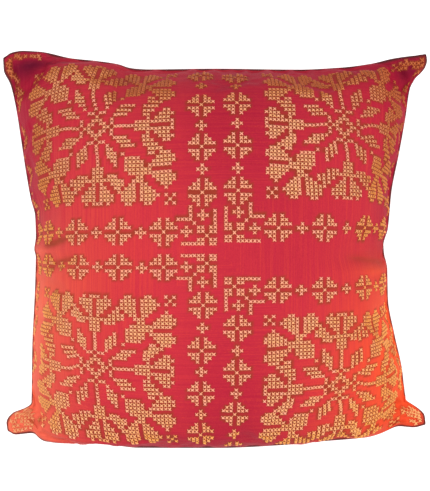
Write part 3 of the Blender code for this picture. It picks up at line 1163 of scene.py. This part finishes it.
LONE_GOLD = (1.000, 0.430, 0.320, 1.0)
PALE_GOLD = (0.950, 0.520, 0.275, 1.0)
# Painted light on the thread
BRIGHT_GOLD = (1.000, 0.570, 0.280, 1.0)
# Painted warm light on the thread, on its steep sides and by place
GOLD = (1.000, 0.440, 0.085, 1.0)
SHADE_GOLD = (0.570, 0.140, 0.038, 1.0)
# The fibres' own brown, which also serves as painted shade where crowded threads dive into the
# cloth
FIBRE_AND_SHADE_BROWN = (0.470, 0.125, 0.032, 1.0)

# A thread's twist in radians a millimetre, and its fibres along it, round it and by thread
TWIST = 7.0
FIBRE = (1.2, 14.0, 9.0)

# Ranges as for the silk, and what a value is multiplied by and what is added
THREAD_SLOPE = (0.97, 0.55)
THREAD_UP = (0.15, 0.55)
TINT_GOLD = (0.4, -0.2)
CROWD_PALE = (0.2, 1.0)
LIGHT_BRIGHT = 0.6
FIBRE_BROWN = (0.35, 0.65, 0.25, 0.0)
# Painted shade at the ends of crowded threads, where they dive into the cloth
END_SHADE = (0.40, 1.0, 0.0, 0.72)
CROWD_SHADE = (0.0, 0.8, 0.45, 1.0)

TWIST_HIGH = 0.5
THREAD_BUMP = dict(strength=0.5, distance=0.00015)
THREAD_SURFACE = {"Roughness": 0.45, "Specular IOR Level": 0.30}


def thread_material():
    """Gold embroidery thread: pale on the crossing, painted shade where it dives into the cloth."""
    m = Shader("gold_thread")
    strand = m.attribute("strand")
    along, around, tint = m.parts(strand)
    lie = m.node("ShaderNodeAttribute", attribute_name="lie")
    up, out, end = m.parts(lie.outputs["Vector"])
    turn = m.math("MULTIPLY", around, math.tau)
    twist = m.math("SINE", m.math("MULTIPLY_ADD", along, TWIST, turn))
    fibre = m.noise(strand, FIBRE, detail=2.0)
    crowd, gold, light = m.parts(m.attribute("crowd"))
    slope = m.spread(out, *THREAD_SLOPE)
    # Painted warm light: gold on steep threads and by place, with each thread's own tint
    deeper = m.math("MAXIMUM", slope, gold)
    deeper = m.math("ADD", deeper, m.math("MULTIPLY_ADD", tint, *TINT_GOLD), clamp=True)
    pale = m.mix(m.spread(crowd, *CROWD_PALE), LONE_GOLD, PALE_GOLD)
    colour = m.mix(deeper, pale, GOLD)
    # Painted light
    colour = m.mix(m.math("MULTIPLY", light, LIGHT_BRIGHT), colour, BRIGHT_GOLD)
    shaded = m.math("MULTIPLY", slope, m.spread(up, *THREAD_UP))
    shaded = m.math("MAXIMUM", shaded, lie.outputs["Alpha"])
    colour = m.mix(shaded, colour, SHADE_GOLD)
    colour = m.mix(m.spread(fibre, *FIBRE_BROWN), colour, FIBRE_AND_SHADE_BROWN)
    # Painted shade where crowded threads dive into the cloth, less under the painted light
    shaded_ends = m.math("MULTIPLY", m.spread(end, *END_SHADE), m.spread(crowd, *CROWD_SHADE))
    spared = m.math("MULTIPLY_ADD", light, -LIGHT_SPARES, 1.0)
    shaded_ends = m.math("MULTIPLY", shaded_ends, spared)
    m.put(m.bsdf.inputs["Base Color"], m.mix(shaded_ends, colour, FIBRE_AND_SHADE_BROWN))
    m.surface(THREAD_SURFACE)
    m.bump(m.math("MULTIPLY_ADD", twist, TWIST_HIGH, fibre), **THREAD_BUMP)
    return m.material


def make_cover(pieces):
    """The finished cover as one closed mesh, and the front cloth to sew on."""
    front, back, shift = both_panels(RELAX_CELLS)
    front, back = relax_as_cloth(front, back)
    weights = finer_rows(RELAX_CELLS, FINE_CELLS)
    front = worked_cloth(finer(front, weights), 1.0)
    back = worked_cloth(finer(back, weights), -1.0)
    front, back = seam_edge(front, back)
    for panel in (front, back):
        panel[..., 2] = np.maximum(panel[..., 2], 0.0)
    cover, front_ids, back_ids = grid_mesh("cushion_cover", front, back)

    s, t, to_seam = flat_grid()
    note = np.zeros((len(cover.data.vertices), 3))
    for ids, up in ((back_ids, -t), (front_ids, t)):
        note[ids.ravel()] = np.stack([s, up, to_seam], axis=-1).reshape(-1, 3)
    note_points(cover.data, "cloth", note)
    # Painted shade (deep), painted warm light and sheen (warm), and painted shade in the ears'
    # hollows, for the silk
    tones = np.zeros((len(cover.data.vertices), 4))
    for k, name in enumerate(("deep", "warm")):
        for ids in (back_ids, front_ids):
            tones[ids.ravel(), k] = tone_share(s, t, name).ravel()
    tones[front_ids.ravel(), 2] = tone_share(s, t, "hollow_shade").ravel()
    # Painted shade in the creases and painted shadow under the needlework, less under the painted
    # light
    crease_shade = crease_sum(s / PANEL_HALF, t / PANEL_HALF, "shade")
    stitch_shadow = stitched_share(s, t, pieces) * (1.0 - LIGHT_SPARES * tone_share(s, t, "light"))
    tones[front_ids.ravel(), 3] = np.clip(stitch_shadow + crease_shade, 0.0, 1.0).ravel()
    note_points(cover.data, "tone", tones)
    cover.data.materials.append(silk_material())
    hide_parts("cushion")
    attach(cover, "root")
    return FrontCloth(front), shift


def sew(cloth, pieces):
    """All the needlework, one piece for each rosette and two for the bands."""
    thread = thread_material()
    for name, cells in pieces.items():
        work = needlework(name, cells, cloth)
        work.data.materials.append(thread)
        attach(work, "root")


# Studio, in metres and watts
FLOOR_SIZE = 8.0
FLOOR_LEVEL = -0.0005
FLOOR_SURFACE = {
    "Base Color": (0.60, 0.60, 0.60, 1.0),
    "Roughness": 0.8,
    "Emission Color": (1.0, 1.0, 1.0, 1.0),
    "Emission Strength": 0.70,
}
LIGHTS = table(
    "name place size power colour",
    ("key_right", (1.15, -0.40, 0.95), 1.0, 11.0, (1.0, 0.93, 0.86)),
    ("key_left", (-1.15, -0.40, 0.95), 1.0, 9.5, (1.0, 0.94, 0.88)),
    ("overhead", (0.0, 0.35, 1.9), 1.4, 20.0, (1.0, 0.98, 0.97)),
)
LIT_MIDDLE = (0.0, 0.0, 0.08)
WORLD_STRENGTH = 0.35


def make_stage():
    """A pale floor under the cushion."""
    bpy.ops.mesh.primitive_plane_add(size=FLOOR_SIZE, location=(0.0, 0.0, FLOOR_LEVEL))
    floor = bpy.context.object
    floor.name = "floor"
    m = Shader("floor_paint")
    m.surface(FLOOR_SURFACE)
    floor.data.materials.append(m.material)


def area_light(name, place, size, power, colour):
    """A soft round light that faces the cushion."""
    data = bpy.data.lights.new(name, "AREA")
    data.shape = "DISK"
    data.size = size
    data.energy = power
    data.color = colour
    light = placed(name, data)
    light.location = place
    way = np.array(LIT_MIDDLE) - np.array(place)
    flat = math.hypot(way[0], way[1])
    light.rotation_euler = (math.atan2(flat, -way[2]), 0.0, math.atan2(way[0], -way[1]) + math.pi)


def make_lights():
    """Soft studio light, warmer from the lower right and the lower left."""
    for row in LIGHTS:
        area_light(**row)
    world = bpy.data.worlds.new("studio")
    world.use_nodes = True
    sky = world.node_tree.nodes["Background"].inputs
    sky["Color"].default_value = (1.0, 1.0, 1.0, 1.0)
    sky["Strength"].default_value = WORLD_STRENGTH
    bpy.context.scene.world = world


def make_camera(shift):
    """Straight over the face, framed as the photograph is."""
    seam_level = BACK_CROWN - REST_PRESS - REST_EASE / 2
    data = bpy.data.cameras.new("view")
    data.sensor_width = SENSOR
    data.lens = SENSOR * CAMERA_ABOVE_SEAM / (PHOTO_HIGH * MM_PER_PIXEL)
    camera = placed("view", data)
    across = (PHOTO_WIDE / 2 - PHOTO_MIDDLE[0]) * MM_PER_PIXEL - shift[0]
    up = (PHOTO_MIDDLE[1] - PHOTO_HIGH / 2) * MM_PER_PIXEL - shift[1]
    camera.location = (across * MM, up * MM, (seam_level + CAMERA_ABOVE_SEAM) * MM)
    bpy.context.scene.camera = camera


needlework_pieces = stitched_places()
front_cloth, outline_shift = make_cover(needlework_pieces)
sew(front_cloth, needlework_pieces)
make_stage()
make_lights()
make_camera(outline_shift)
bpy.context.scene.view_settings.view_transform = "Standard"
